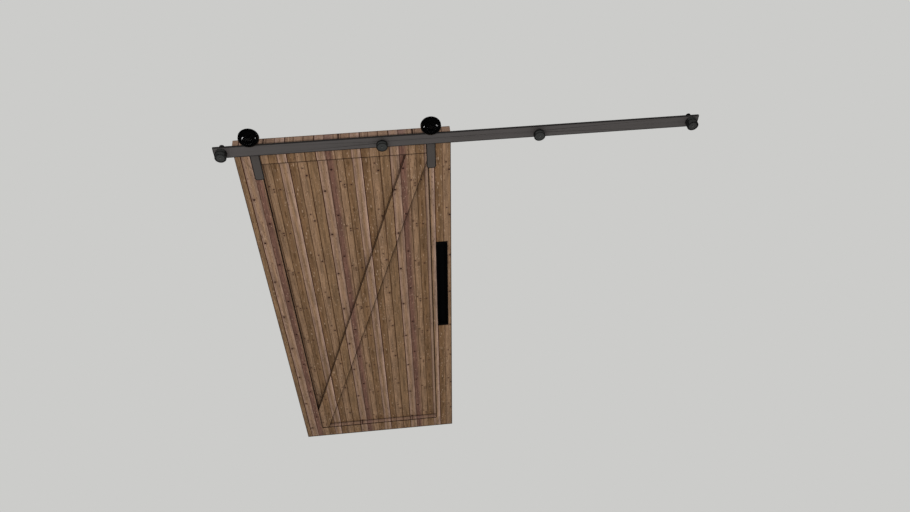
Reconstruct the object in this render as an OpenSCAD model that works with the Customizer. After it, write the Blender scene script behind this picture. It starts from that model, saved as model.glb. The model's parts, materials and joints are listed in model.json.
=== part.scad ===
// Single sliding barn door on a flat wall rail.
// X runs along the rail, Y runs away from the wall into the room, and Z is up.
// The origin is on the wall face, midway between the two outer wall bolts, at the rail's mid height.

/* [Rail] */
// Length of the flat steel rail
rail_length = 1830; // [1830:10:2200]
// Height of the rail
rail_height = 50; // [48:1:56]
// Thickness of the rail
rail_thickness = 8; // [6:1:8]
// Distance between the two outer wall bolts
outer_bolt_spacing = 1774; // [1764:2:1790]
// Distance between the two inner wall bolts
inner_bolt_spacing = 592; // [400:2:700]

/* [Standoffs] */
// Diameter of each round standoff
standoff_diameter = 43; // [30:1:44]
// Length of the part of a standoff that is next to the wall
standoff_length = 16; // [14:0.5:18]
// Distance that the spacer or the neck adds between that part and the rail
spacer_length = 13; // [12:0.5:16]
// Diameter of the neck on each inner standoff
neck_diameter = 16; // [14:1:24]
// Diameter of the hole that takes the wall stud
stud_hole_diameter = 8; // [8:0.5:10]
// Depth of the hole that takes the wall stud
stud_hole_depth = 9.5; // [8:0.5:10]
// Thread diameter of the screws that hold the rail to the standoffs
rail_screw_diameter = 6; // [5:1:6]

/* [End stops] */
// Diameter of the rubber end stops
stop_diameter = 20; // [18:1:22]
// How far an end stop stands out of the rail
stop_length = 27; // [24:1:30]

/* [Hangers] */
// Distance between the two wheels
wheel_spacing = 666; // [600:2:680]
// Outer diameter of a wheel
wheel_diameter = 78; // [77:1:79]
// Thickness of a wheel, which is also the height of its rounded tyre section
wheel_thickness = 36; // [34:1:36]
// Diameter at the bottom of the wheel's groove, where it rolls on the rail
groove_root_diameter = 67; // [65:0.5:68]
// Width of the wheel's groove
groove_width = 9.6; // [8.6:0.1:10]
// Width of a hanger strap
strap_width = 36; // [34:1:40]
// Thickness of a hanger strap
strap_thickness = 5; // [5:0.5:6]
// How far a strap reaches down the door's face from the top edge
strap_drop = 162; // [150:1:200]
// Thread diameter of the axle bolts
axle_diameter = 10; // [10:1:10]
// Thread diameter of the studs that hold the straps to the door
strap_stud_diameter = 8; // [6:1:8]

/* [Door] */
// Width of the door
door_width = 820; // [800:2:860]
// Height of the door
door_height = 2134; // [2000:2:2200]
// Thickness of the door's frame
door_thickness = 46; // [44:1:50]
// Width of each stile
stile_width = 90; // [90:1:100]
// Height of the top rail
top_rail_height = 90; // [70:1:120]
// Height of the bottom rail
bottom_rail_height = 90; // [70:1:150]
// Distance from the door's left edge to the left outer wall bolt when the door is at rest
door_rest_offset = 33; // [30:1:60]
// How far the door's top edge hangs below the rail's mid height
door_hang = 10.5; // [10.5:0.5:18]

/* [Panel and braces] */
// Number of tongued boards in the panel
board_count = 18; // [12:1:18]
// Thickness of the boards
board_thickness = 15; // [12:1:16]
// How far the panel is set back from the wall side of the frame
panel_setback = 21; // [18:1:22]
// Width of the diagonal braces
brace_width = 92; // [60:1:100]
// Distance from the panel's lower left corner to the brace's centre line
brace_foot_offset = 8; // [0:1:20]
// Distance from the panel's upper right corner to the brace's centre line
brace_head_offset = 38; // [0:1:60]

/* [Flush pulls] */
// Width of a pull's face plate
pull_width = 51; // [44:1:52]
// Height of a pull's face plate
pull_height = 595; // [300:5:700]
// Thickness of a pull's face plate
pull_plate = 3; // [2:0.5:3]
// Depth of a pull's cup in the wood
pull_cup_depth = 16; // [12:1:16]
// Height of the pull's middle above the door's bottom edge
pull_centre_height = 1242; // [900:2:1300]
// Distance from the door's right edge to the pull's middle
pull_inset = 42; // [42:1:46]

/* [Hidden] */
$fn = 64;

// Gap between a thread and its nut, between a wheel and the rail it rolls on, and round a plain hole
thread_gap = 0.02;
rolling_gap = 0.3;
clearance = 0.3;
// How far a cut runs past the face that it opens
over = 1;

// Depths, counted from the wall
rail_y = standoff_length + spacer_length;
rail_far_y = rail_y + rail_thickness;
wheel_y = rail_y + rail_thickness / 2;
wheel_far_y = wheel_y + wheel_thickness / 2;
strap_gap = 8;
strap_y = wheel_far_y + strap_gap;
door_y = strap_y + strap_thickness;
door_far_y = door_y + door_thickness;
panel_y = door_y + panel_setback;
panel_far_y = panel_y + board_thickness;

// Heights
rail_top_z = rail_height / 2;
axle_z = rail_top_z + groove_root_diameter / 2 + rolling_gap;
door_top_z = -door_hang;
door_bottom_z = door_top_z - door_height;
opening_bottom_z = door_bottom_z + bottom_rail_height;
opening_top_z = door_top_z - top_rail_height;
opening_height = opening_top_z - opening_bottom_z;
strap_bottom_z = door_top_z - strap_drop;

// Places along the rail, with the door at rest
left_bolt_x = -outer_bolt_spacing / 2;
door_left_x = left_bolt_x + door_rest_offset;
door_right_x = door_left_x + door_width;
opening_left_x = door_left_x + stile_width;
opening_right_x = door_right_x - stile_width;
opening_width = opening_right_x - opening_left_x;
left_wheel_x = door_left_x + (door_width - wheel_spacing) / 2;
right_wheel_x = left_wheel_x + wheel_spacing;

// Bearing of a wheel: bore 10, outside 26, width 8
bearing_width = 8;
bearing_outer_radius = 13;
outer_ring_inner_radius = 10.6;
inner_ring_outer_radius = 7;
ball_radius = 1.7;
ball_pitch_radius = 8.8;
ball_count = 8;
bearing_y = wheel_y - bearing_width / 2;
hub_shoulder_radius = 9.5;
hub_mouth_radius = 15;
hub_mouth_depth = 6;

// Axle hardware
axle_head_radius = 8.5;
axle_head_height = 5.5;
axle_crown_radius = 5.5;
axle_key = 6;
axle_key_depth = 3.7;
axle_washer_height = 1.5;
axle_washer_radius = 9;
nut_across_flats = 16;
nut_height = 8;
axle_tail = 3;
sleeve_radius = 7;

// Strap hardware
strap_corner_radius = 11;
lower_stud_rise = 23;
upper_stud_rise = 113;
stud_heights = [strap_bottom_z + lower_stud_rise, strap_bottom_z + upper_stud_rise];
cap_washer_radius = 9;
cap_washer_height = 1.6;
cap_nut_across_flats = 13;
cap_nut_height = 6.5;
cap_dome_radius = 6;

// Rail hardware
rail_screw_head_radius = 5.3;
rail_screw_head_height = 3.3;
rail_screw_crown_radius = 3.7;
stop_recess_depth = 6;
stop_recess_radius = 5.7;
screw_tip_gap = 0.5;
rail_screw_key = 4;
rail_screw_key_depth = 1.8;

// Joints of the door's frame
groove_depth = 8;
tenon_length = 40;
tenon_shoulder = 20;
tongue_length = 6;
tongue_thickness = 5;
board_chamfer = 1.5;

// Flush pulls
pull_side_margin = 4;
pull_end_margin = 12;
pull_wall = 2;
pull_x = door_right_x - pull_inset;
pull_z = door_bottom_z + pull_centre_height;
pull_screw_radius = 2;
pull_screw_head_radius = 3.4;
pull_screw_length = 14;
pull_screw_head_gap = 0.08;
pull_screw_key = 2.6;
pull_screw_key_depth = 2;
pull_screw_tip_gap = 1;

// Boards come in widths that repeat across the panel. The first and last are a little wider.
board_widths = [29, 32, 37.5, 32, 37, 40, 37.5, 35];
first_board_extra = 6;
last_board_extra = 13;
board_scale = opening_width / (widths_before(board_count) + first_board_extra + last_board_extra);

rail_color = [0.28, 0.27, 0.27];
black = [0.03, 0.03, 0.03];
steel = [0.62, 0.63, 0.65];
wood_colors = ["#7f654f", "#604a3b", "#766049", "#6a553d", "#816951", "#654c37", "#746049", "#6a5039"];

function two_digits(number) = number < 10 ? str("0", number) : str(number);
function widths_before(count) =
    count == 0 ? 0 : widths_before(count - 1) + board_widths[(count - 1) % len(board_widths)];
// Right edge of a board, counted from the opening's left edge. Board 0 stands for that edge itself.
function board_edge(number) =
    number == 0 ? 0
    : number == board_count ? opening_width
    : board_scale * (widths_before(number) + first_board_extra);
function board_name(number) = str("panel_board_", two_digits(number));
function side_x(side) = side == "left" ? -1 : 1;
function wheel_x(side) = side == "left" ? left_wheel_x : right_wheel_x;

SIDES = ["left", "right"];
FIXED_NODES = ["rail", "inner_rail_screws", "outer_rail_screws"];
SIDED_FIXED_NODES = ["wall_standoff_", "outer_standoff_", "inner_standoff_", "end_stop_"];
SIDED_HANGER_NODES = [
    "wheel_", "bearing_outer_ring_", "bearing_balls_", "bearing_inner_ring_", "axle_bolt_",
    "axle_sleeve_", "axle_nut_", "hanger_strap_", "strap_studs_", "strap_cap_nuts_"
];
DOOR_NODES = [
    "left_stile", "right_stile", "top_rail", "bottom_rail", "wall_side_brace", "room_side_brace",
    "wall_side_pull", "room_side_pull", "pull_screws"
];

// A round bar along +Y, from start_y to end_y
module bar_y(x, z, radius, start_y, end_y) {
    translate([x, start_y, z]) rotate([-90, 0, 0]) cylinder(r = radius, h = end_y - start_y);
}

// A tapered bar along +Y
module taper_y(x, z, start_radius, end_radius, start_y, end_y) {
    translate([x, start_y, z]) rotate([-90, 0, 0])
        cylinder(r1 = start_radius, r2 = end_radius, h = end_y - start_y);
}

// A hexagonal bar along +Y
module hex_y(x, z, across_flats, start_y, end_y) {
    translate([x, start_y, z]) rotate([-90, 0, 0])
        cylinder(r = across_flats / 2 / cos(30), h = end_y - start_y, $fn = 6);
}

// A block between two corners
module block(low, high) {
    translate(low) cube(high - low);
}

// ---------- the rail and what holds it ----------

module rail() {
    color(rail_color) difference() {
        block([-rail_length / 2, rail_y, -rail_height / 2], [rail_length / 2, rail_far_y, rail_height / 2]);
        for (spacing = [outer_bolt_spacing, inner_bolt_spacing])
            for (way = [-1, 1])
                bar_y(way * spacing / 2, 0, rail_screw_diameter / 2 + clearance,
                    rail_y - over, rail_far_y + over);
    }
}

// The two holes of a standoff: one takes the stud in the wall, the other is threaded for the rail screw
module standoff_holes(x, length) {
    bar_y(x, 0, stud_hole_diameter / 2, -over, stud_hole_depth);
    bar_y(x, 0, rail_screw_diameter / 2, 0, length + over);
}

// A plain disc on the wall, at each end of the rail
module wall_standoff(side) {
    x = side_x(side) * outer_bolt_spacing / 2;
    color(rail_color) difference() {
        bar_y(x, 0, standoff_diameter / 2, 0, standoff_length);
        standoff_holes(x, standoff_length);
    }
}

// The spacer between that disc and the rail
module outer_standoff(side) {
    x = side_x(side) * outer_bolt_spacing / 2;
    color(rail_color) difference() {
        bar_y(x, 0, standoff_diameter / 2, standoff_length, rail_y);
        bar_y(x, 0, rail_screw_diameter / 2 + clearance, standoff_length - over, rail_y + over);
    }
}

// A standoff for the middle of the rail: its disc and the neck to the rail are one piece
module inner_standoff(side) {
    x = side_x(side) * inner_bolt_spacing / 2;
    color(rail_color) difference() {
        union() {
            bar_y(x, 0, standoff_diameter / 2, 0, standoff_length);
            bar_y(x, 0, neck_diameter / 2, standoff_length - over, rail_y);
        }
        standoff_holes(x, rail_y);
    }
}

// A button head screw whose head is under head_y, with a hexagonal key socket
module rail_screw(x, tip_y, head_y) {
    difference() {
        union() {
            bar_y(x, 0, rail_screw_diameter / 2 - thread_gap, tip_y, head_y);
            taper_y(x, 0, rail_screw_head_radius, rail_screw_crown_radius, head_y,
                head_y + rail_screw_head_height);
        }
        hex_y(x, 0, rail_screw_key, head_y + rail_screw_head_height - rail_screw_key_depth,
            head_y + rail_screw_head_height + over);
    }
}

module inner_rail_screws() {
    color(rail_color) for (way = [-1, 1])
        rail_screw(way * inner_bolt_spacing / 2, stud_hole_depth + screw_tip_gap, rail_far_y);
}

module outer_rail_screws() {
    color(rail_color) for (way = [-1, 1])
        rail_screw(way * outer_bolt_spacing / 2, stud_hole_depth + screw_tip_gap,
            rail_far_y + stop_length - stop_recess_depth);
}

// A rubber bush on the outer rail screw, which the hanger strap meets at the end of the door's travel
module end_stop(side) {
    x = side_x(side) * outer_bolt_spacing / 2;
    end_y = rail_far_y + stop_length;
    color(black) difference() {
        bar_y(x, 0, stop_diameter / 2, rail_far_y, end_y);
        bar_y(x, 0, rail_screw_diameter / 2 + clearance, rail_far_y - over, end_y);
        bar_y(x, 0, stop_recess_radius, end_y - stop_recess_depth, end_y + over);
    }
}

// ---------- the hangers ----------

// Half of the wheel's cross-section: a round tyre section with a square groove for the rail
module wheel_section() {
    tyre_radius = wheel_thickness / 2;
    tyre_centre = wheel_diameter / 2 - tyre_radius;
    difference() {
        union() {
            translate([0, -tyre_radius]) square([tyre_centre, wheel_thickness]);
            intersection() {
                translate([tyre_centre, 0]) circle(r = tyre_radius);
                translate([0, -tyre_radius]) square([wheel_diameter, wheel_thickness]);
            }
        }
        translate([groove_root_diameter / 2, -groove_width / 2]) square([wheel_diameter, groove_width]);
        translate([-over, -wheel_thickness]) square([over + hub_shoulder_radius, 2 * wheel_thickness]);
        translate([-over, -wheel_thickness])
            square([over + bearing_outer_radius, wheel_thickness + bearing_width / 2]);
        polygon([
            [0, -tyre_radius - over],
            [hub_mouth_radius, -tyre_radius - over],
            [hub_mouth_radius, -tyre_radius],
            [bearing_outer_radius, -tyre_radius + hub_mouth_depth],
            [0, -tyre_radius + hub_mouth_depth]
        ]);
    }
}

module wheel(side) {
    color(black) translate([wheel_x(side), wheel_y, axle_z]) rotate([-90, 0, 0])
        rotate_extrude() wheel_section();
}

module bearing_outer_ring(side) {
    color(steel) difference() {
        bar_y(wheel_x(side), axle_z, bearing_outer_radius, bearing_y, bearing_y + bearing_width);
        bar_y(wheel_x(side), axle_z, outer_ring_inner_radius,
            bearing_y - over, bearing_y + bearing_width + over);
    }
}

module bearing_inner_ring(side) {
    color(steel) difference() {
        bar_y(wheel_x(side), axle_z, inner_ring_outer_radius, bearing_y, bearing_y + bearing_width);
        bar_y(wheel_x(side), axle_z, axle_diameter / 2 + thread_gap,
            bearing_y - over, bearing_y + bearing_width + over);
    }
}

module bearing_balls(side) {
    color(steel) for (step = [0:ball_count - 1])
        translate([wheel_x(side), wheel_y, axle_z]) rotate([0, step * 360 / ball_count, 0])
            translate([ball_pitch_radius, 0, 0]) sphere(r = ball_radius, $fn = 24);
}

module axle_bolt(side) {
    x = wheel_x(side);
    seat_y = bearing_y - axle_washer_height;
    crown_y = seat_y - axle_head_height;
    tail_y = door_y + axle_washer_height + nut_height + axle_tail;
    color(rail_color) difference() {
        union() {
            taper_y(x, axle_z, axle_crown_radius, axle_head_radius, crown_y, seat_y);
            bar_y(x, axle_z, axle_diameter / 2, seat_y, tail_y);
            bar_y(x, axle_z, sleeve_radius, seat_y, bearing_y);
        }
        hex_y(x, axle_z, axle_key, crown_y - over, crown_y + axle_key_depth);
    }
}

// Spacer between the bearing and the strap
module axle_sleeve(side) {
    x = wheel_x(side);
    color(steel) difference() {
        bar_y(x, axle_z, sleeve_radius, bearing_y + bearing_width, strap_y);
        bar_y(x, axle_z, axle_diameter / 2 + thread_gap, bearing_y, strap_y + over);
    }
}

// Washer and hexagonal nut behind the strap, joined as one flanged nut
module axle_nut(side) {
    x = wheel_x(side);
    color(rail_color) difference() {
        union() {
            bar_y(x, axle_z, axle_washer_radius, door_y, door_y + axle_washer_height);
            hex_y(x, axle_z, nut_across_flats, door_y + axle_washer_height,
                door_y + axle_washer_height + nut_height);
        }
        bar_y(x, axle_z, axle_diameter / 2 + thread_gap, door_y - over,
            door_y + axle_washer_height + nut_height + over);
    }
}

// Outline of a strap, with a round head at the axle and two rounded corners at its foot
module strap_outline() {
    length = axle_z - strap_bottom_z;
    half = strap_width / 2;
    circle(r = half);
    translate([-half, -length + strap_corner_radius]) square([strap_width, length - strap_corner_radius]);
    translate([-half + strap_corner_radius, -length])
        square([strap_width - 2 * strap_corner_radius, strap_corner_radius]);
    for (way = [-1, 1])
        translate([way * (half - strap_corner_radius), -length + strap_corner_radius])
            circle(r = strap_corner_radius);
}

module hanger_strap(side) {
    x = wheel_x(side);
    color(rail_color) difference() {
        translate([x, strap_y + strap_thickness, axle_z]) rotate([90, 0, 0])
            linear_extrude(strap_thickness) strap_outline();
        bar_y(x, axle_z, axle_diameter / 2 + thread_gap, strap_y - over, door_y + over);
    }
}

// Studs welded to the back of the strap, which go through the door
module strap_studs(side) {
    tip_y = door_far_y + cap_washer_height + cap_nut_height;
    color(rail_color) for (height = stud_heights)
        bar_y(wheel_x(side), height, strap_stud_diameter / 2, door_y, tip_y);
}

// Domed cap nuts with washers on the room side of the door
module strap_cap_nuts(side) {
    x = wheel_x(side);
    nut_y = door_far_y + cap_washer_height;
    dome_y = nut_y + cap_nut_height;
    color(rail_color) for (height = stud_heights)
        difference() {
            union() {
                bar_y(x, height, cap_washer_radius, door_far_y, nut_y);
                hex_y(x, height, cap_nut_across_flats, nut_y, dome_y);
                intersection() {
                    translate([x, dome_y, height]) sphere(r = cap_dome_radius);
                    bar_y(x, height, cap_dome_radius + over, dome_y - over, dome_y + cap_dome_radius);
                }
            }
            bar_y(x, height, strap_stud_diameter / 2 + thread_gap, door_far_y - over, dome_y);
        }
}

// ---------- the door ----------

module stud_holes() {
    for (side = SIDES)
        for (height = stud_heights)
            bar_y(wheel_x(side), height, strap_stud_diameter / 2 + clearance,
                door_y - over, door_far_y + over);
}

// The room that the two pull cups take in the right stile
module pull_pockets() {
    half_width = pull_width / 2 - pull_side_margin;
    half_height = pull_height / 2 - pull_end_margin;
    for (low_y = [door_y - over, door_far_y - pull_cup_depth])
        block([pull_x - half_width, low_y, pull_z - half_height],
            [pull_x + half_width, low_y + pull_cup_depth + over, pull_z + half_height]);
}

module pull_screw_holes() {
    for (way = [-1, 1]) {
        z = pull_z + way * (pull_height - pull_end_margin) / 2;
        bar_y(pull_x, z, pull_screw_radius, door_y - over, door_y + pull_screw_length);
        bar_y(pull_x, z, pull_screw_radius, door_far_y - pull_screw_length, door_far_y + over);
    }
}

// A stile whose left edge is at low_x. The groove and mortises are on the side that faces groove_x.
module stile(low_x, groove_x) {
    toward = groove_x > low_x ? -1 : 1;
    groove_end_x = groove_x + toward * groove_depth;
    mortise_end_x = groove_x + toward * tenon_length;
    difference() {
        block([low_x, door_y, door_bottom_z], [low_x + stile_width, door_far_y, door_top_z]);
        block([min(groove_x, groove_end_x), panel_y, door_bottom_z - over],
            [max(groove_x, groove_end_x), panel_far_y, door_top_z + over]);
        block([min(groove_x, mortise_end_x), panel_y, door_bottom_z + tenon_shoulder],
            [max(groove_x, mortise_end_x), panel_far_y, opening_bottom_z]);
        block([min(groove_x, mortise_end_x), panel_y, opening_top_z],
            [max(groove_x, mortise_end_x), panel_far_y, door_top_z - tenon_shoulder]);
        stud_holes();
        children();
    }
}

module left_stile() {
    color(wood_colors[1]) stile(door_left_x, opening_left_x);
}

module right_stile() {
    color(wood_colors[5]) stile(opening_right_x, opening_right_x) {
        union() {
            pull_pockets();
            pull_screw_holes();
        }
    }
}

// A cross rail with a long tenon at each end, a haunch that fills the stile's groove beyond the tenon,
// and a groove for the panel on the edge that faces the opening
module cross_rail(low_z, high_z, groove_low_z, tenon_low_z, tenon_high_z) {
    difference() {
        union() {
            block([opening_left_x, door_y, low_z], [opening_right_x, door_far_y, high_z]);
            block([opening_left_x - groove_depth, panel_y, low_z],
                [opening_right_x + groove_depth, panel_far_y, high_z]);
            block([opening_left_x - tenon_length, panel_y, tenon_low_z],
                [opening_right_x + tenon_length, panel_far_y, tenon_high_z]);
        }
        block([opening_left_x - groove_depth, panel_y, groove_low_z],
            [opening_right_x + groove_depth, panel_far_y, groove_low_z + groove_depth]);
        stud_holes();
    }
}

module top_rail() {
    color(wood_colors[2])
        cross_rail(opening_top_z, door_top_z, opening_top_z, opening_top_z, door_top_z - tenon_shoulder);
}

module bottom_rail() {
    color(wood_colors[4])
        cross_rail(door_bottom_z, opening_bottom_z, opening_bottom_z - groove_depth,
            door_bottom_z + tenon_shoulder, opening_bottom_z);
}

// Outline of a brace: a straight board from the lower left to the upper right, cut to the opening
module brace_outline() {
    foot = [-brace_foot_offset, 0];
    head = [opening_width - brace_head_offset, opening_height];
    run = head - foot;
    slope = atan2(run[1], run[0]);
    length = norm(run);
    overrun = 2 * brace_width;
    intersection() {
        square([opening_width, opening_height]);
        translate(foot) rotate(slope)
            translate([-overrun, -brace_width / 2]) square([length + 2 * overrun, brace_width]);
    }
}

module brace(low_y, thickness) {
    translate([opening_left_x, low_y + thickness, opening_bottom_z]) rotate([90, 0, 0])
        linear_extrude(thickness) brace_outline();
}

module wall_side_brace() {
    color(wood_colors[3]) brace(door_y, panel_setback);
}

module room_side_brace() {
    color(wood_colors[3]) brace(panel_far_y, door_far_y - panel_far_y);
}

// Cross-section of a panel board: chamfered edges, a groove on its left and a tongue on its right.
// The first and last boards are plain on their outer edge, which fills the stile's groove.
module board_section(number) {
    first = number == 1;
    last = number == board_count;
    width = board_edge(number) - board_edge(number - 1);
    low = first ? -groove_depth : 0;
    high = last ? width + groove_depth : width;
    middle = board_thickness / 2;
    difference() {
        union() {
            polygon([
                [low + board_chamfer, 0],
                [high - board_chamfer, 0],
                [high, board_chamfer],
                [high, board_thickness - board_chamfer],
                [high - board_chamfer, board_thickness],
                [low + board_chamfer, board_thickness],
                [low, board_thickness - board_chamfer],
                [low, board_chamfer]
            ]);
            if (!last)
                translate([high - over, middle - tongue_thickness / 2])
                    square([tongue_length + over, tongue_thickness]);
        }
        if (!first)
            translate([low - over, middle - tongue_thickness / 2 - clearance])
                square([tongue_length + clearance + over, tongue_thickness + 2 * clearance]);
    }
}

module panel_board(number) {
    color(wood_colors[number % len(wood_colors)])
        translate([opening_left_x + board_edge(number - 1), panel_y, opening_bottom_z - groove_depth])
            linear_extrude(opening_height + 2 * groove_depth) board_section(number);
}

// ---------- the flush pulls ----------

// A face plate with an open cup behind it, made for the wall side of the door
module pull() {
    half_width = pull_width / 2;
    half_height = pull_height / 2;
    cup_half_width = half_width - pull_side_margin;
    cup_half_height = half_height - pull_end_margin;
    difference() {
        union() {
            block([-half_width, -pull_plate, -half_height], [half_width, 0, half_height]);
            block([-cup_half_width, 0, -cup_half_height], [cup_half_width, pull_cup_depth, cup_half_height]);
        }
        block([-cup_half_width + pull_wall, -pull_plate - over, -cup_half_height + pull_wall],
            [cup_half_width - pull_wall, pull_cup_depth - pull_wall, cup_half_height - pull_wall]);
        for (way = [-1, 1])
            pull_screw_seat(way * (pull_height - pull_end_margin) / 2);
    }
}

module pull_screw_seat(z) {
    bar_y(0, z, pull_screw_radius + thread_gap, -pull_plate - over, over);
    taper_y(0, z, pull_screw_head_radius, pull_screw_radius, -pull_plate, 0);
}

module pull_screw(z) {
    difference() {
        union() {
            bar_y(0, z, pull_screw_radius - thread_gap, -pull_plate, pull_screw_length - pull_screw_tip_gap);
            taper_y(0, z, pull_screw_head_radius - pull_screw_head_gap,
                pull_screw_radius - pull_screw_head_gap, -pull_plate, 0);
        }
        hex_y(0, z, pull_screw_key, -pull_plate - over, -pull_plate + pull_screw_key_depth);
    }
}

// Places a pull, or its screws, on either face of the door
module on_wall_side() {
    translate([pull_x, door_y, pull_z]) children();
}

module on_room_side() {
    translate([pull_x, door_far_y, pull_z]) rotate([0, 0, 180]) children();
}

module wall_side_pull() {
    color(black) on_wall_side() pull();
}

module room_side_pull() {
    color(black) on_room_side() pull();
}

module pull_screws() {
    color(black) for (way = [-1, 1]) {
        on_wall_side() pull_screw(way * (pull_height - pull_end_margin) / 2);
        on_room_side() pull_screw(way * (pull_height - pull_end_margin) / 2);
    }
}

rail();
inner_rail_screws();
outer_rail_screws();
left_stile();
right_stile();
top_rail();
bottom_rail();
wall_side_brace();
room_side_brace();
wall_side_pull();
room_side_pull();
pull_screws();
for (side = SIDES) {
    wall_standoff(side);
    outer_standoff(side);
    inner_standoff(side);
    end_stop(side);
    wheel(side);
    bearing_outer_ring(side);
    bearing_balls(side);
    bearing_inner_ring(side);
    axle_bolt(side);
    axle_sleeve(side);
    axle_nut(side);
    hanger_strap(side);
    strap_studs(side);
    strap_cap_nuts(side);
}
for (number = [1:board_count])
    panel_board(number);
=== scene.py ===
"""Looks of the sliding barn door: materials, softened edges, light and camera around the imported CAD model.

Lengths are in metres, in the CAD model's own frame: X along the rail, Y away from the wall, Z up.
"""
import json
import math

import bpy
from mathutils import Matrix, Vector


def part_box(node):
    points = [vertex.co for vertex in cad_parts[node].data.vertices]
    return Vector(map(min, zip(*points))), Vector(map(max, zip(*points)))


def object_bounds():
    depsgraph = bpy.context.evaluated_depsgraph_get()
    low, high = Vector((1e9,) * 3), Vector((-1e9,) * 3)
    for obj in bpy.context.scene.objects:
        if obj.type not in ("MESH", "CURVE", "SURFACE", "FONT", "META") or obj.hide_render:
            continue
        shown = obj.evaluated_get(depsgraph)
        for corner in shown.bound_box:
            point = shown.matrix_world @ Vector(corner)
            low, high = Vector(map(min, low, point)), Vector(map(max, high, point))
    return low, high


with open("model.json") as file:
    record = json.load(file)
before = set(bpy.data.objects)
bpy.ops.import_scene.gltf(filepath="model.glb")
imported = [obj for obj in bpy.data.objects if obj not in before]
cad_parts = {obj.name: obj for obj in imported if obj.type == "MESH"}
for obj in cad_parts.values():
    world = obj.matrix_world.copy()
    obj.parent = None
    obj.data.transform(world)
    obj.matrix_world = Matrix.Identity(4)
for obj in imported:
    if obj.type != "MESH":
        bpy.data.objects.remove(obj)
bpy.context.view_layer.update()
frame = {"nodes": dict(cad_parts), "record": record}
nodes = frame["nodes"]

MM = 0.001
SIDES = ("left", "right")
BOARDS = sorted(name for name in nodes if name.startswith("panel_board_"))
FRAME = ["left_stile", "right_stile", "top_rail", "bottom_rail"]
BRACES = ["wall_side_brace", "room_side_brace"]


def both_sides(*bases):
    return [f"{base}_{side}" for base in bases for side in SIDES]


def linear(hex_colour):
    """A colour written as it looks on screen, as the linear colour that a shader takes."""
    shown = [int(hex_colour[i:i + 2], 16) / 255 for i in (1, 3, 5)]
    return tuple(c / 12.92 if c <= 0.04045 else ((c + 0.055) / 1.055) ** 2.4 for c in shown) + (1.0,)


# ---------- node trees ----------


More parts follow.
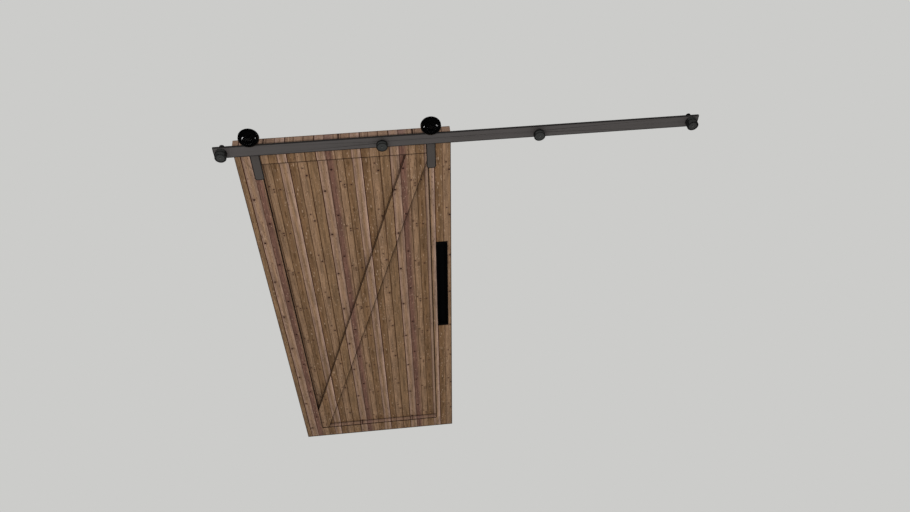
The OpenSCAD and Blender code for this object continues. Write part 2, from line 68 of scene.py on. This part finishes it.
class Graph:
    """A material's node tree. Most methods add nodes and return the last one's output."""

    def __init__(self, name):
        self.material = bpy.data.materials.new(name)
        self.material.use_nodes = True
        self.tree = self.material.node_tree
        self.shader = self.tree.nodes["Principled BSDF"]

    def add(self, kind, **settings):
        node = self.tree.nodes.new(kind)
        for key, value in settings.items():
            setattr(node, key, value)
        return node

    def put(self, socket, value):
        """Links an output to a socket, or sets the socket to a constant."""
        if isinstance(value, bpy.types.NodeSocket):
            self.tree.links.new(value, socket)
        elif value is not None:
            socket.default_value = value

    def math(self, operation, a, b=None):
        node = self.add("ShaderNodeMath", operation=operation)
        for socket, value in zip(node.inputs, (a, b)):
            self.put(socket, value)
        return node.outputs[0]

    def times(self, a, b):
        return self.math("MULTIPLY", a, b)

    def plus(self, a, b):
        return self.math("ADD", a, b)

    def minus(self, a, b):
        return self.math("SUBTRACT", a, b)

    def vector(self, operation, a, b=None):
        node = self.add("ShaderNodeVectorMath", operation=operation)
        self.put(node.inputs[0], a)
        self.put(node.inputs[1], b)
        return node.outputs["Value" if operation in ("DISTANCE", "LENGTH", "DOT_PRODUCT") else "Vector"]

    def combine(self, x, y, z):
        node = self.add("ShaderNodeCombineXYZ")
        for socket, value in zip(node.inputs, (x, y, z)):
            self.put(socket, value)
        return node.outputs[0]

    def place(self):
        """X, Y and Z of the point in the piece's own space, which moves with its body."""
        source = self.add("ShaderNodeTexCoord").outputs["Object"]
        split = self.add("ShaderNodeSeparateXYZ")
        self.put(split.inputs[0], source)
        return split.outputs

    def facing(self):
        """The surface's direction in the piece's own space."""
        split = self.add("ShaderNodeSeparateXYZ")
        self.put(split.inputs[0], self.add("ShaderNodeTexCoord").outputs["Normal"])
        return split.outputs

    def noise(self, where, scale, detail=3.0, roughness=0.5):
        """Noise around 0.5, with about scale bumps to the metre and detail finer layers."""
        node = self.add("ShaderNodeTexNoise")
        self.put(node.inputs["Vector"], where)
        for key, value in (("Scale", scale), ("Detail", detail), ("Roughness", roughness)):
            node.inputs[key].default_value = value
        return node.outputs["Fac"]

    def spread(self, value, low, high, to_low=0.0, to_high=1.0, smooth=True):
        """Maps low..high to to_low..to_high, and holds the ends."""
        node = self.add("ShaderNodeMapRange", interpolation_type="SMOOTHSTEP" if smooth else "LINEAR")
        for socket, number in zip(node.inputs, (value, low, high, to_low, to_high)):
            self.put(socket, number)
        return node.outputs[0]

    def ramp(self, value, stops, interpolation="LINEAR"):
        """Colour at value, from stops of (place, colour)."""
        node = self.add("ShaderNodeValToRGB")
        node.color_ramp.interpolation = interpolation
        elements = node.color_ramp.elements
        while len(elements) < len(stops):
            elements.new(0.5)
        for element, (place, colour) in zip(elements, sorted(stops, key=lambda stop: stop[0])):
            element.position = place
            element.color = colour if len(colour) == 4 else tuple(colour) + (1.0,)
        self.put(node.inputs[0], value)
        return node.outputs[0]

    def mix(self, factor, a, b):
        """Colour a where factor is 0, and b where it is 1."""
        node = self.add("ShaderNodeMix", data_type="RGBA")
        node.clamp_factor = True
        self.put(node.inputs[0], factor)
        self.put(node.inputs[6], a)
        self.put(node.inputs[7], b)
        return node.outputs[2]

    def scaled(self, colour, amount):
        """A colour times a number."""
        if not isinstance(colour, bpy.types.NodeSocket):
            colour = colour[:3]
        return self.vector("MULTIPLY", colour, self.combine(amount, amount, amount))

    def band(self, value, low, high, soft):
        """1 from low to high, and 0 beyond a soft edge on either side of them."""
        rise = self.spread(value, low - soft, low)
        fall = self.spread(value, high, high + soft, 1.0, 0.0)
        return self.times(rise, fall)

    def most(self, values):
        """The largest of some numbers."""
        total = values[0]
        for value in values[1:]:
            total = self.math("MAXIMUM", total, value)
        return total

    def bump(self, height, distance):
        node = self.add("ShaderNodeBump")
        node.inputs["Distance"].default_value = distance
        self.put(node.inputs["Height"], height)
        return node.outputs[0]

    def finish(self, **inputs):
        """Sets the shader's sockets, named with _ for a space, and returns the material."""
        for key, value in inputs.items():
            self.put(self.shader.inputs[key.replace("_", " ")], value)
        return self.material


# ---------- wood ----------

DOOR_LOW, DOOR_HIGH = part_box("left_stile")[0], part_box("right_stile")[1]
BOARD_EDGES = [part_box(name)[0].x for name in BOARDS[1:]]
STRIP_COUNT = 8
STRIP_WIDTHS = [b - a for a, b in zip(BOARD_EDGES, BOARD_EDGES[1:])][:STRIP_COUNT]
PATTERN_WIDTH = sum(STRIP_WIDTHS)
STRIP_STARTS = [sum(STRIP_WIDTHS[:n]) / PATTERN_WIDTH for n in range(STRIP_COUNT)]
KNOT_PITCH = 253 * MM

PALE, SAND, TAN = "#ae9081", "#987b6b", "#8c6e54"
CLAY, UMBER, BARK, PLUM = "#83664a", "#7c5f43", "#74563a", "#704f42"
SEAM, KNOT, STAIN, HEART = "#3b1700", "#2b120c", "#5b3c2c", "#4a3012"
FLECK, PALE_SPECK, DARK_SPECK = "#bd9f84", "#b99c84", "#3a2212"
# Painted shade for the wood: dark lines along edges, the opening's inner side faces, and the panel's foot
# where it meets the bottom rail
EDGE_SHADE_LINE, RECESS_SIDE_SHADE, PANEL_FOOT_SHADE = "#221006", "#140b07", "#1d0f08"
# Painted light: a highlight beside the right stile, and a paler, pinker tint for faces turned up, as if lit
# from above
PANEL_GLINT, TOP_LIGHT_TINT = "#b09580", "#a48a84"

# How far along a direction a face's unit normal reaches when the face starts to count as turned that way, and
# when it fully does
TURNED = (0.5, 0.8)

# Each strip's tone at its left edge, in its middle and at its right edge, and how dark its left seam is
STRIPS = (
    (UMBER, BARK, CLAY, 0.55),
    (SAND, CLAY, PALE, 0.6),
    (BARK, BARK, CLAY, 1.0),
    (TAN, TAN, UMBER, 0.6),
    (CLAY, UMBER, CLAY, 0.8),
    (SAND, TAN, SAND, 1.0),
    (PLUM, PLUM, TAN, 0.7),
    (TAN, TAN, CLAY, 0.6),
)

# Knots of one repeat: strip, distance from its left edge, height in the repeat, radius
KNOTS = (
    (0, 17 * MM, 120 * MM, 3.6 * MM),
    (3, 27 * MM, 184 * MM, 5.0 * MM),
    (3, 15 * MM, 224 * MM, 3.4 * MM),
    (5, 11 * MM, 94 * MM, 5.6 * MM),
    (6, 11 * MM, 206 * MM, 5.4 * MM),
    (7, 19 * MM, 122 * MM, 3.8 * MM),
    (7, 19 * MM, 109 * MM, 3.4 * MM),
    (7, 5 * MM, 140 * MM, 3.6 * MM),
)

# Where a knot and the stain round it have faded out, in the knot's own radii
KNOT_END, STAIN_END = 1.2, 3.1

# Pale flecks of torn grain, in the same terms
FLECKS = (
    (2, 14 * MM, 112 * MM, 11 * MM),
    (2, 10 * MM, 90 * MM, 9 * MM),
    (2, 16 * MM, 244 * MM, 12 * MM),
    (0, 13 * MM, 173 * MM, 9 * MM),
    (7, 11 * MM, 158 * MM, 5 * MM),
    (7, 21 * MM, 151 * MM, 6 * MM),
)

# Dark hearts, which are long stains down the middle of a strip
HEARTS = (
    (0, 16 * MM, 232 * MM, 26 * MM),
    (2, 17 * MM, 228 * MM, 30 * MM),
)


def strip_ramps(g, across):
    """The strips' own colour and the seams between them, across one repeat. A seam is dark over its core, and
    fades out over its edges."""
    tones, seams = [], []
    # As shares of the repeat: half a seam's core, half the whole seam, and the width of the change in tone
    core, edge, change = [length * MM / PATTERN_WIDTH for length in (1.3, 2.5, 0.11)]
    for start, width, (left, middle, right, depth) in zip(STRIP_STARTS, STRIP_WIDTHS, STRIPS):
        share = width / PATTERN_WIDTH
        tones += [(start, linear(left)), (start + share / 2, linear(middle)),
                  (start + share - change, linear(right))]
        if start:
            seams.append((start - core, (depth,) * 3))
        seams += [(start + core, (depth,) * 3), (start + edge, (0.0,) * 3)]
        seams.append((start + share - edge, (0.0,) * 3))
    seams.append((1.0 - core, (STRIPS[0][3],) * 3))
    return g.ramp(across, tones), g.ramp(across, seams)


def grown(places, factor):
    """The same places with their radii times factor."""
    return [(*place, factor * radius) for *place, radius in places]


def marks(g, along, up, places, slimness=1.0):
    """Soft spots, 1 in their middle, at places in one repeat. A spot's radius is its half height, and it is
    slimness times less wide."""
    spots = []
    for strip, offset, height, radius in places:
        x = STRIP_STARTS[strip] * PATTERN_WIDTH + offset
        aside = g.times(g.minus(along, x), slimness)
        distance = g.vector("LENGTH", g.combine(aside, 0.0, g.minus(up, height)))
        spots.append(g.spread(distance, radius * 0.45, radius, 1.0, 0.0))
    return g.most(spots)


# The opening in the door's frame, and the brace across it
(OPENING_LEFT, _, OPENING_BOTTOM), (OPENING_RIGHT, PANEL_Y, OPENING_TOP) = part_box("wall_side_brace")
BRACE_WIDTH = 92 * MM
BRACE_FOOT = Vector((OPENING_LEFT - 8 * MM, OPENING_BOTTOM))
BRACE_HEAD = Vector((OPENING_RIGHT - 38 * MM, OPENING_TOP))

# Width of a painted dark edge line, which stands in for shade along an edge, and of its soft sides
LINE = 3 * MM
SOFT = 0.8 * MM


def drawn(g, lines):
    """The darkest of some soft lines, each given by a coordinate, its two ends there and its darkness."""
    return g.most([g.times(g.band(value, low, high, SOFT), dark) for value, low, high, dark in lines])


def door_edge_lines(x, z):
    """The painted dark lines along the door's own four edges, which stand in for shade along them."""
    return [
        (x, DOOR_LOW.x, DOOR_LOW.x + LINE, 0.65),
        (x, DOOR_HIGH.x - LINE, DOOR_HIGH.x, 0.75),
        (z, DOOR_LOW.z, DOOR_LOW.z + 2 * LINE, 0.75),
        (z, DOOR_HIGH.z - LINE, DOOR_HIGH.z, 0.75),
    ]


def brace_outline(g, x, z):
    """Painted shade as dark lines along a brace's two long edges, and where its foot meets the frame."""
    run = (BRACE_HEAD - BRACE_FOOT).normalized()
    aside = g.plus(g.times(x, run.y), g.times(z, -run.x))
    middle = BRACE_FOOT.x * run.y - BRACE_FOOT.y * run.x
    low, high = middle - BRACE_WIDTH / 2, middle + BRACE_WIDTH / 2
    lines = door_edge_lines(x, z) + [
        (aside, high - 3.6 * MM, high, 0.75),
        (aside, low, low + 2.6 * MM, 0.9),
        (x, OPENING_LEFT, OPENING_LEFT + LINE, 0.7),
        (z, OPENING_BOTTOM, OPENING_BOTTOM + LINE, 0.5),
    ]
    return g.times(drawn(g, lines), g.spread(g.math("ABSOLUTE", g.facing()[1]), *TURNED))


def frame_outline(g, x, y, z):
    """Painted shade as dark lines on the frame's faces, round the opening and along the door's own edges.
    Fainter ones lie on the bottom rail's ledge where it meets the panel, and along the far edge of the door's
    top."""
    tall = g.band(z, OPENING_BOTTOM, OPENING_TOP, SOFT)
    across = g.band(x, OPENING_LEFT, OPENING_RIGHT, SOFT)
    upright = [(x, OPENING_LEFT - 1.4 * MM, OPENING_LEFT, 1.0),
               (x, OPENING_RIGHT, OPENING_RIGHT + 3.4 * MM, 1.0)]
    level = [(z, OPENING_TOP, OPENING_TOP + 4.2 * MM, 0.75),
             (z, OPENING_BOTTOM - 7 * MM, OPENING_BOTTOM, 1.0)]
    edges = g.most([drawn(g, door_edge_lines(x, z)), g.times(drawn(g, upright), tall),
                    g.times(drawn(g, level), across)])
    _, outward, upward = g.facing()
    on_faces = g.times(edges, g.spread(g.math("ABSOLUTE", outward), *TURNED))
    ledge = g.times(drawn(g, [(y, PANEL_Y - 5 * MM, PANEL_Y, 0.4)]), across)
    back = drawn(g, [(y, DOOR_HIGH.y - 4 * MM, DOOR_HIGH.y, 0.4)])
    on_top = g.times(g.math("MAXIMUM", ledge, back), g.spread(upward, *TURNED))
    return g.math("MAXIMUM", on_faces, on_top)


def recess_side_shade(g, x, y, on_brace):
    """Painted shade where wood looks into the opening on the wall side: the left stile's inner face, which
    faces right, and at half strength the brace's upper face, which faces left."""
    sideways = g.facing()[0]
    if on_brace:
        facing = g.times(g.spread(g.times(sideways, -1.0), *TURNED), 0.5)
    else:
        facing = g.spread(sideways, *TURNED)
    inside = g.band(x, DOOR_LOW.x + 5 * MM, DOOR_HIGH.x - 5 * MM, 1 * MM)
    return g.times(g.times(facing, inside), g.spread(y, PANEL_Y, PANEL_Y + 1 * MM, 1.0, 0.0))


def grain(g, x, y, long_z, stain):
    """Streaks and fibres that run along the wood, and how light they, the rings and the clouds leave it."""
    streaks = g.noise(g.combine(x, y, g.times(long_z, 0.06)), 120.0, 4.0, 0.65)
    fibres = g.noise(g.combine(x, y, g.times(long_z, 0.02)), 900.0, 2.0, 0.6)
    clouds = g.noise(g.combine(g.times(x, 3.0), y, long_z), 9.0, 3.0, 0.6)
    round_knots = g.plus(x, g.times(stain, 2.5 * MM))
    rings = g.add("ShaderNodeTexWave", wave_type="BANDS", bands_direction="X", wave_profile="SAW")
    g.put(rings.inputs["Vector"], g.combine(round_knots, y, g.times(long_z, 0.05)))
    for key, value in (("Scale", 46.0), ("Distortion", 7.0), ("Detail", 3.0), ("Detail Scale", 0.7)):
        rings.inputs[key].default_value = value

    shade = g.spread(streaks, 0.33, 0.67, 0.76, 1.25)
    shade = g.times(shade, g.spread(rings.outputs["Fac"], 0.0, 1.0, 0.88, 1.1, smooth=False))
    shade = g.times(shade, g.spread(fibres, 0.3, 0.7, 0.82, 1.18))
    shade = g.times(shade, g.spread(clouds, 0.32, 0.68, 0.95, 1.06))
    return streaks, fibres, shade


def wood(name, on_brace=False, on_panel=False):
    """Stained pine in strips that keep their line from the stiles across the panel."""
    g = Graph(name)
    x, y, z = g.place()
    turns = g.math("DIVIDE", g.minus(x, BOARD_EDGES[0]), PATTERN_WIDTH)
    repeat = g.math("FLOOR", turns)
    across = g.minus(turns, repeat)
    strip_tone, seam = strip_ramps(g, across)

    # Each strip of each repeat is cut from another length of the wood
    cuts = [(start, ((n * 0.37) % 1,) * 3) for n, start in enumerate(STRIP_STARTS)]
    cut = g.ramp(across, cuts, "CONSTANT")
    long_z = g.plus(g.plus(z, g.times(cut, 3.0)), g.times(repeat, 0.61))

    wander = g.minus(g.noise(g.combine(x, y, g.times(long_z, 0.6)), 14.0, 2.0), 0.5)
    along = g.plus(g.times(across, PATTERN_WIDTH), g.times(wander, 3 * MM))
    rows = g.math("DIVIDE", g.minus(z, DOOR_LOW.z), KNOT_PITCH)
    up = g.plus(g.times(g.math("FRACT", rows), KNOT_PITCH), g.times(wander, 6 * MM))
    knots = marks(g, along, up, grown(KNOTS, KNOT_END))
    stain = marks(g, along, up, grown(KNOTS, STAIN_END))
    flecks = marks(g, along, up, FLECKS, slimness=4.0)
    hearts = marks(g, along, up, HEARTS, slimness=4.5)
    streaks, fibres, shade = grain(g, x, y, long_z, stain)
    specks = g.noise(g.combine(x, y, g.times(long_z, 0.3)), 210.0, 1.0)
    on_top = g.spread(g.facing()[2], *TURNED)

    # Where each tint lies, and how much of it
    tints = [
        # Painted light: faces turned up take a paler, pinker tint
        (on_top, 0.3, TOP_LIGHT_TINT),
        (hearts, 0.5, HEART),
        (stain, 0.3, STAIN),
        (g.spread(specks, 0.66, 0.72), 0.5, PALE_SPECK),
        (g.spread(specks, 0.28, 0.34, 1.0, 0.0), 0.6, DARK_SPECK),
        (flecks, 0.6, FLECK),
        (knots, 0.95, KNOT),
        (seam, 1.0, SEAM),
    ]
    if on_panel:
        # Painted light and shade on the panel: a highlight beside the right stile, and shade at its foot
        # where it meets the bottom rail
        glint = g.band(x, OPENING_RIGHT - 6 * MM, OPENING_RIGHT - 2 * MM, 1 * MM)
        foot = g.spread(z, OPENING_BOTTOM + 4 * MM, OPENING_BOTTOM + 5 * MM, 1.0, 0.0)
        tints += [(glint, 0.8, PANEL_GLINT), (foot, 0.55, PANEL_FOOT_SHADE)]
    else:
        # Painted shade: dark lines along the edges, and the dark side faces inside the opening
        outline = brace_outline(g, x, z) if on_brace else frame_outline(g, x, y, z)
        tints += [(outline, 1.0, EDGE_SHADE_LINE), (recess_side_shade(g, x, y, on_brace), 1.0, RECESS_SIDE_SHADE)]
    # Faces turned up are painted a quarter lighter, as painted light from above
    colour = g.scaled(strip_tone, g.times(shade, g.plus(g.times(on_top, 0.25), 1.0)))
    for where, amount, tint in tints:
        colour = g.mix(g.times(where, amount), colour, linear(tint))

    relief = g.plus(g.times(fibres, 0.25), g.times(streaks, 0.5))
    relief = g.minus(relief, g.times(knots, 0.5))
    if not on_panel:
        relief = g.minus(relief, g.times(seam, 2.0))
    return g.finish(Base_Color=colour, Roughness=g.spread(streaks, 0.3, 0.7, 0.72, 0.6),
                    Specular_IOR_Level=0.3, Normal=g.bump(relief, 0.35 * MM))


# ---------- metal, rubber and nylon ----------

# Dark paint for painted edge shade along the metal's edges, and a lighter bare steel
EDGE_DARKENING, BARE_STEEL_LIGHTENED = "#0c0b0b", "#60605e"


def powder_coat(name, colour, rough, specular, border=None, bare=None):
    """Paint on steel with a fine orange peel. border and bare are functions of the graph and a point. border
    gives 1 where the paint is darkened along an edge as painted edge shade, and bare gives 1 where the steel
    is bare and painted lighter."""
    g = Graph(name)
    x, y, z = g.place()
    where = g.combine(x, y, z)
    patches = g.noise(where, 9.0, 3.0, 0.55)
    peel = g.noise(where, 1400.0, 2.0, 0.6)
    shade = g.times(g.spread(patches, 0.3, 0.7, 0.97, 1.03), g.spread(peel, 0.3, 0.7, 0.97, 1.03))
    tone = g.scaled(linear(colour), shade)
    if border:
        # Painted edge shade along the edges
        tone = g.mix(g.times(border(g, x, y, z), 0.85), tone, linear(EDGE_DARKENING))
    if bare:
        # Bare steel in the bolt holes, painted lighter to paint out the shade inside them
        tone = g.mix(bare(g, x, y, z), tone, linear(BARE_STEEL_LIGHTENED))
    return g.finish(Base_Color=tone, Roughness=g.spread(patches, 0.3, 0.7, rough - 0.05, rough + 0.05),
                    Specular_IOR_Level=specular, Normal=g.bump(peel, 0.05 * MM))


def rail_border(g, x, y, z):
    """A dark band over the top face, and painted edge shade as a line along the lower edge and at both ends.
    """
    low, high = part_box("rail")
    track = high.z - 1.6 * MM
    return g.most([
        g.times(g.spread(z, track - SOFT, track), 0.85),
        g.band(z, low.z, low.z + LINE, SOFT),
        g.band(x, low.x, low.x + LINE, SOFT),
        g.band(x, high.x - LINE, high.x, SOFT),
    ])


DOOR_MIDDLE = (DOOR_LOW.x + DOOR_HIGH.x) / 2
WHEEL_LOW, WHEEL_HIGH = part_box("wheel_right")
WHEEL_MIDDLE = (WHEEL_LOW + WHEEL_HIGH) / 2


def beside_wheel(g, x):
    """How far a point is beside its own wheel's axis. Both wheels lie alike about the door's middle."""
    return g.minus(g.math("ABSOLUTE", g.minus(x, DOOR_MIDDLE)), WHEEL_MIDDLE.x - DOOR_MIDDLE)


def strap_border(g, x, y, z):
    """Painted edge shade as a line along a strap's long edges and round its foot."""
    low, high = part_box("hanger_strap_right")
    corner = 11 * MM
    side = g.minus(g.math("ABSOLUTE", beside_wheel(g, x)), (high.x - low.x) / 2 - corner)
    foot = g.minus(low.z + corner, z)
    past_side, past_foot = [g.math("MAXIMUM", value, 0.0) for value in (side, foot)]
    from_corner = g.vector("LENGTH", g.combine(past_side, past_foot, 0.0))
    return g.spread(from_corner, corner - LINE - SOFT, corner - LINE)


BOLT_HOLE_RADIUS = frame["record"]["mounts"][0]["dims"]["hole_r_mm"] * MM


def from_standoff_axis(g, x, z):
    """How far a point is from the axis of the standoff that is nearest to it."""
    from_middle = g.math("ABSOLUTE", x)
    asides = []
    for standoff in ("outer_standoff_right", "inner_standoff_right"):
        low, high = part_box(standoff)
        asides.append(g.math("ABSOLUTE", g.minus(from_middle, (low.x + high.x) / 2)))
    return g.vector("LENGTH", g.combine(g.math("MINIMUM", *asides), z, 0.0))


def standoff_border(rim, joint_line):
    """Painted shade as dark lines round a standoff's face, rim wide, and on its side where its disc ends,
    joint_line wide, and where it meets the rail; its sides turned along the rail are darkened as painted
    shade too.
    """
    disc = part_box("wall_standoff_left")[1]
    rail_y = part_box("rail")[0].y
    line, soft = 1.6 * MM, 0.6 * MM

    def border(g, x, y, z):
        facing = g.facing()
        on_face = g.spread(g.math("ABSOLUTE", facing[1]), 0.6, 0.9)
        face_rim = g.times(g.band(from_standoff_axis(g, x, z), disc.z - rim, disc.z, soft), on_face)
        side_lines = g.most([
            g.band(y, disc.y - joint_line, disc.y + line, soft),
            g.band(y, rail_y - line, rail_y, soft),
            g.spread(g.math("ABSOLUTE", facing[0]), 0.65, 0.85),
        ])
        return g.math("MAXIMUM", face_rim, g.times(side_lines, g.minus(1.0, on_face)))

    return border


def standoff_bore(g, x, y, z):
    """1 in the hole for the wall bolt, where the steel is bare and is painted lighter to paint out the shade
    inside the hole.
    """
    return g.spread(from_standoff_axis(g, x, z), BOLT_HOLE_RADIUS + 0.3 * MM, BOLT_HOLE_RADIUS + 0.1 * MM)


def moulded_rubber(name):
    """Dull black rubber with a little dust."""
    g = Graph(name)
    x, y, z = g.place()
    grain = g.noise(g.combine(x, y, z), 2200.0, 3.0, 0.6)
    dust = g.noise(g.combine(x, y, z), 60.0, 4.0, 0.6)
    tone = g.scaled(linear("#0d0d0d"), g.spread(dust, 0.35, 0.75, 0.8, 1.5))
    return g.finish(Base_Color=tone, Roughness=g.spread(dust, 0.3, 0.7, 0.75, 0.9), Specular_IOR_Level=0.2,
                    Normal=g.bump(grain, 0.05 * MM))


HUB_RADIUS = 15 * MM


def turned_nylon(name):
    """Glossy black nylon with faint tool marks, and dull at the hub."""
    g = Graph(name)
    x, y, z = g.place()
    tooling = g.noise(g.combine(g.times(x, 0.2), y, g.times(z, 0.2)), 800.0, 2.0)
    smudge = g.noise(g.combine(x, y, z), 45.0, 3.0, 0.6)
    from_axis = g.vector("LENGTH", g.combine(beside_wheel(g, x), 0.0, g.minus(z, WHEEL_MIDDLE.z)))
    rough = g.plus(g.spread(smudge, 0.35, 0.7, 0.06, 0.14),
                   g.spread(from_axis, HUB_RADIUS, HUB_RADIUS + 1 * MM, 0.6, 0.0))
    return g.finish(Base_Color=g.scaled(linear("#050505"), g.spread(tooling, 0.3, 0.7, 0.8, 1.2)),
                    Roughness=rough, Specular_IOR_Level=1.0, Normal=g.bump(tooling, 0.002 * MM))


def ground_steel(name):
    """Bright steel with fine grinding lines."""
    g = Graph(name)
    x, y, z = g.place()
    lines = g.noise(g.combine(g.times(x, 0.1), g.times(y, 4.0), z), 900.0, 3.0, 0.6)
    tone = g.scaled(linear("#b9babd"), g.spread(lines, 0.3, 0.7, 0.8, 1.1))
    return g.finish(Base_Color=tone, Metallic=1.0, Roughness=g.spread(lines, 0.3, 0.7, 0.22, 0.36),
                    Normal=g.bump(lines, 0.02 * MM))


def set_material(names, material):
    for name in names:
        mesh = nodes[name].data
        mesh.materials.clear()
        mesh.materials.append(material)


def soften(names, radius, segments=2):
    """Rounds the sharp edges of CAD nodes, without touching their meshes."""
    for name in names:
        weld = nodes[name].modifiers.new("weld", "WELD")
        weld.merge_threshold = 0.005 * MM
        bevel = nodes[name].modifiers.new("bevel", "BEVEL")
        bevel.width = radius
        bevel.segments = segments
        bevel.limit_method = "ANGLE"
        bevel.angle_limit = math.radians(40)
        bevel.harden_normals = True


set_material(FRAME, wood("frame_wood"))
set_material(BRACES, wood("brace_wood", on_brace=True))
set_material(BOARDS, wood("board_wood", on_panel=True))
set_material(["rail"], powder_coat("rail_steel", "#504c4b", 0.5, 0.25, rail_border))
set_material(both_sides("hanger_strap"), powder_coat("strap_steel", "#4b4643", 0.5, 0.25, strap_border))
set_material(both_sides("wall_standoff", "outer_standoff"),
             powder_coat("outer_standoff_steel", "#343534", 0.45, 0.25,
                         standoff_border(rim=6 * MM, joint_line=2 * MM), standoff_bore))
set_material(both_sides("inner_standoff"),
             powder_coat("inner_standoff_steel", "#363736", 0.45, 0.25,
                         standoff_border(rim=4 * MM, joint_line=7 * MM), standoff_bore))
set_material(both_sides("axle_bolt", "axle_nut", "strap_studs", "strap_cap_nuts")
             + ["inner_rail_screws", "outer_rail_screws"],
             powder_coat("fastener_steel", "#161514", 0.22, 0.5))
set_material(["wall_side_pull", "room_side_pull", "pull_screws"],
             powder_coat("pull_steel", "#050505", 0.6, 0.15))
set_material(both_sides("end_stop"), moulded_rubber("stop_rubber"))
set_material(both_sides("wheel"), turned_nylon("wheel_nylon"))
set_material(both_sides("bearing_outer_ring", "bearing_balls", "bearing_inner_ring", "axle_sleeve"),
             ground_steel("bearing_steel"))

soften(FRAME + BRACES, 1.0 * MM)
soften(["rail"], 0.8 * MM)
soften(both_sides("hanger_strap"), 0.8 * MM)
soften(both_sides("wall_standoff", "outer_standoff", "inner_standoff"), 0.6 * MM)


# ---------- studio ----------

BACKDROP = "#ccccca"
FLOOR_GAP = 10 * MM


def make_floor():
    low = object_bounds()[0]
    bpy.ops.mesh.primitive_plane_add(size=60, location=(0, 0, low[2] - FLOOR_GAP))
    floor = bpy.context.object
    floor.name = "floor"
    g = Graph("floor")
    g.finish(Base_Color=(0, 0, 0, 1), Roughness=1.0, Specular_IOR_Level=0.0,
             Emission_Color=linear(BACKDROP), Emission_Strength=1.0)
    floor.data.materials.append(g.material)
    floor.visible_glossy = False


def make_world():
    world = bpy.data.worlds.new("studio")
    bpy.context.scene.world = world
    world.use_nodes = True
    background = world.node_tree.nodes["Background"]
    background.inputs["Color"].default_value = linear(BACKDROP)
    background.inputs["Strength"].default_value = 1.0
    world.cycles_visibility.glossy = False


def make_light(name, place, target, width, height, power, in_reflections=True, reflections_only=False):
    data = bpy.data.lights.new(name, "AREA")
    data.shape = "RECTANGLE"
    data.size, data.size_y = width, height
    data.energy = power
    light = bpy.data.objects.new(name, data)
    light.location = place
    light.rotation_euler = (Vector(target) - Vector(place)).to_track_quat("-Z", "Y").to_euler()
    light.visible_glossy = in_reflections
    light.visible_diffuse = not reflections_only
    bpy.context.scene.collection.objects.link(light)


def make_camera():
    data = bpy.data.cameras.new("camera")
    data.lens = 32.12
    data.sensor_width = 36.0
    camera = bpy.data.objects.new("camera", data)
    camera.location = (-0.2703, -2.3283, 1.9687)
    camera.rotation_euler = (math.radians(41.967), 0.0, math.radians(-6.030))
    bpy.context.scene.collection.objects.link(camera)
    bpy.context.scene.camera = camera


make_floor()
make_world()
make_light("key", (-1.2, -3.2, 2.2), (-0.4, 0.0, -1.0), 2.4, 2.4, 70, in_reflections=False)
make_light("room_fill", (-0.4, 3.4, -0.6), (-0.4, 0.0, -1.0), 2.4, 2.4, 60, in_reflections=False)
make_light("left_window", (-1.95, -2.45, -1.2), (-0.6, 0.05, 0.0), 0.35, 0.6, 7, reflections_only=True)
make_light("right_window", (1.1, -2.45, -1.05), (-0.4, 0.05, 0.0), 0.35, 0.5, 4.5, reflections_only=True)
make_camera()
bpy.context.scene.view_settings.view_transform = "Standard"
